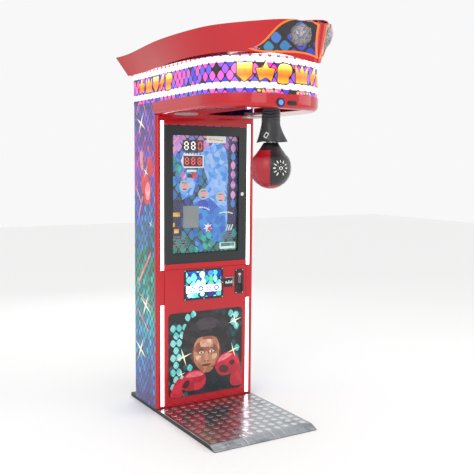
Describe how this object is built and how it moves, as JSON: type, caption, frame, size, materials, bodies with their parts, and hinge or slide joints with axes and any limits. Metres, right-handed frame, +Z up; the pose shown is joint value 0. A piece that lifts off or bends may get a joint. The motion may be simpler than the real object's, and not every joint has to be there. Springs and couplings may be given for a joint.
{
  "type": "boxing punch machine",
  "caption": "Upright boxing punch machine with a tread-plate platform, lit window door, overhanging backlit header, visor crown and a punch ball on a swinging arm.",
  "frame": {"origin": "on the floor, in the middle of the cabinet's width, under the front edges of its side walls", "axes": "+X to the right seen from the front, the front faces -Y, +Z up"},
  "size_m": [0.943, 1.5732, 2.2564],
  "materials": {
    "red_gloss": "glossy red moulding and lacquer",
    "printed_side": "board with a printed laminate",
    "black_board": "black laminated board",
    "tread_aluminium": "pressed tread plate",
    "black_metal": "satin black powder coat",
    "frame_steel": "grey painted steel",
    "bright_steel": "machined steel",
    "lock_chrome": "polished",
    "window_glass": "clear",
    "light_diffuser": "opal diffuser",
    "marquee_film": "backlit printed film",
    "artwork": "printed panel",
    "digit_red": "lit digit modules",
    "screen_face": "lit screen",
    "grey_plastic": "grey moulding",
    "black_plastic": "black moulding",
    "eye_print": "dark printed panel",
    "orange_trim": "orange edge trim",
    "mesh_steel": "woven mesh",
    "lamp_lens": "clear lens in a grey trim",
    "button_blue": "lit blue button",
    "button_dark": "dark red button",
    "ball_leather": "glossy leather",
    "boot_leather": "soft black leather",
    "buffer_rubber": "rubber block",
    "circuit": "circuit board with parts",
    "supply_case": "perforated case"
  },
  "bodies": {
    "root": {"base_board": "black_board", "tread_plate": "tread_aluminium", "side_panel_left": "printed_side", "side_panel_right": "printed_side", "rear_panel": "black_board", "service_hinge": "bright_steel", "equipment_shelf": "black_board", "front_frame": "red_gloss", "light_strips_upper": "light_diffuser", "light_strips_lower": "light_diffuser", "hinge_pins": "bright_steel", "artwork_panel": "artwork", "score_displays": "digit_red", "round_counters": "digit_red", "info_box": "grey_plastic", "coin_box": "black_metal", "header_tray": "red_gloss", "downlights": "lamp_lens", "button_bezels": "black_plastic", "marquee_band": "marquee_film", "marquee_lights": "light_diffuser", "header_frame": "frame_steel", "bearing_blocks": "frame_steel", "stop_buffer": "buffer_rubber", "encoder_sensor": "black_plastic", "latch_solenoid": "supply_case", "crown_shell": "red_gloss", "crown_lid": "red_gloss", "eye_panels": "eye_print", "eye_trims": "orange_trim", "speaker_domes": "mesh_steel", "speaker_drivers": "black_plastic", "power_supply": "supply_case", "control_board": "circuit", "mains_inlet": "black_plastic"},
    "punch_arm": {"pivot_shaft": "bright_steel", "arm_hub": "bright_steel", "arm_tube": "bright_steel", "arm_collar": "bright_steel", "punch_ball": "ball_leather", "boot_sleeve": "boot_leather", "encoder_disc": "bright_steel"},
    "window_door": {"window_frame": "black_metal", "window_glass": "window_glass"},
    "window_lock": {"window_lock": "lock_chrome"},
    "lower_door": {"lower_door": "red_gloss", "picture_panel": "artwork", "screen_bezel": "black_metal", "screen_panel": "screen_face", "panel_screws": "lock_chrome", "label_plate": "artwork", "coin_plate": "black_metal", "coin_mechanism": "black_plastic"},
    "coin_reject_button": {"coin_reject_button": "lock_chrome"},
    "coin_return_flap": {"coin_return_flap": "black_plastic"},
    "service_door": {"service_door": "black_board"},
    "service_lock": {"service_lock": "lock_chrome"},
    "start_button": {"start_button": "button_blue"},
    "select_button": {"select_button": "button_dark"},
    "latch_plunger": {"latch_plunger": "bright_steel"}
  },
  "joints": [
    {"name": "punch_arm_swing", "type": "hinge", "parent": "root", "child": "punch_arm", "pos_m": [0, -0.735, 1.985], "axis": [1, 0, 0], "range_deg": [-5, 88]},
    {"name": "window_door_hinge", "type": "hinge", "parent": "root", "child": "window_door", "pos_m": [-0.286, -0.01, 1.36], "axis": [0, 0, -1], "range_deg": [0, 100]},
    {"name": "window_lock_turn", "type": "hinge", "parent": "window_door", "child": "window_lock", "pos_m": [0.26, -0.01, 1.361], "axis": [0, -1, 0], "range_deg": [0, 90]},
    {"name": "lower_door_hinge", "type": "hinge", "parent": "root", "child": "lower_door", "pos_m": [-0.286, -0.01, 0.468], "axis": [0, 0, -1], "range_deg": [0, 95]},
    {"name": "coin_reject_press", "type": "slide", "parent": "lower_door", "child": "coin_reject_button", "axis": [0, 1, 0], "range_m": [0, 0.003], "stiffness_N_per_m": 300},
    {"name": "coin_flap_hinge", "type": "hinge", "parent": "lower_door", "child": "coin_return_flap", "pos_m": [0.244, -0.0168, 0.769], "axis": [1, 0, 0], "range_deg": [0, 70]},
    {"name": "service_door_hinge", "type": "hinge", "parent": "root", "child": "service_door", "pos_m": [-0.246, 0.31, 0.55], "axis": [0, 0, 1], "range_deg": [0, 110]},
    {"name": "service_lock_turn", "type": "hinge", "parent": "service_door", "child": "service_lock", "pos_m": [0.215, 0.3, 0.55], "axis": [0, -1, 0], "range_deg": [0, 90]},
    {"name": "start_button_press", "type": "slide", "parent": "root", "child": "start_button", "axis": [0, 1, 0], "range_m": [0, 0.004], "stiffness_N_per_m": 400},
    {"name": "select_button_press", "type": "slide", "parent": "root", "child": "select_button", "axis": [0, 1, 0], "range_m": [0, 0.003], "stiffness_N_per_m": 400},
    {"name": "latch_plunger_slide", "type": "slide", "parent": "root", "child": "latch_plunger", "axis": [1, 0, 0], "range_m": [0, 0.02], "stiffness_N_per_m": 200}
  ]
}
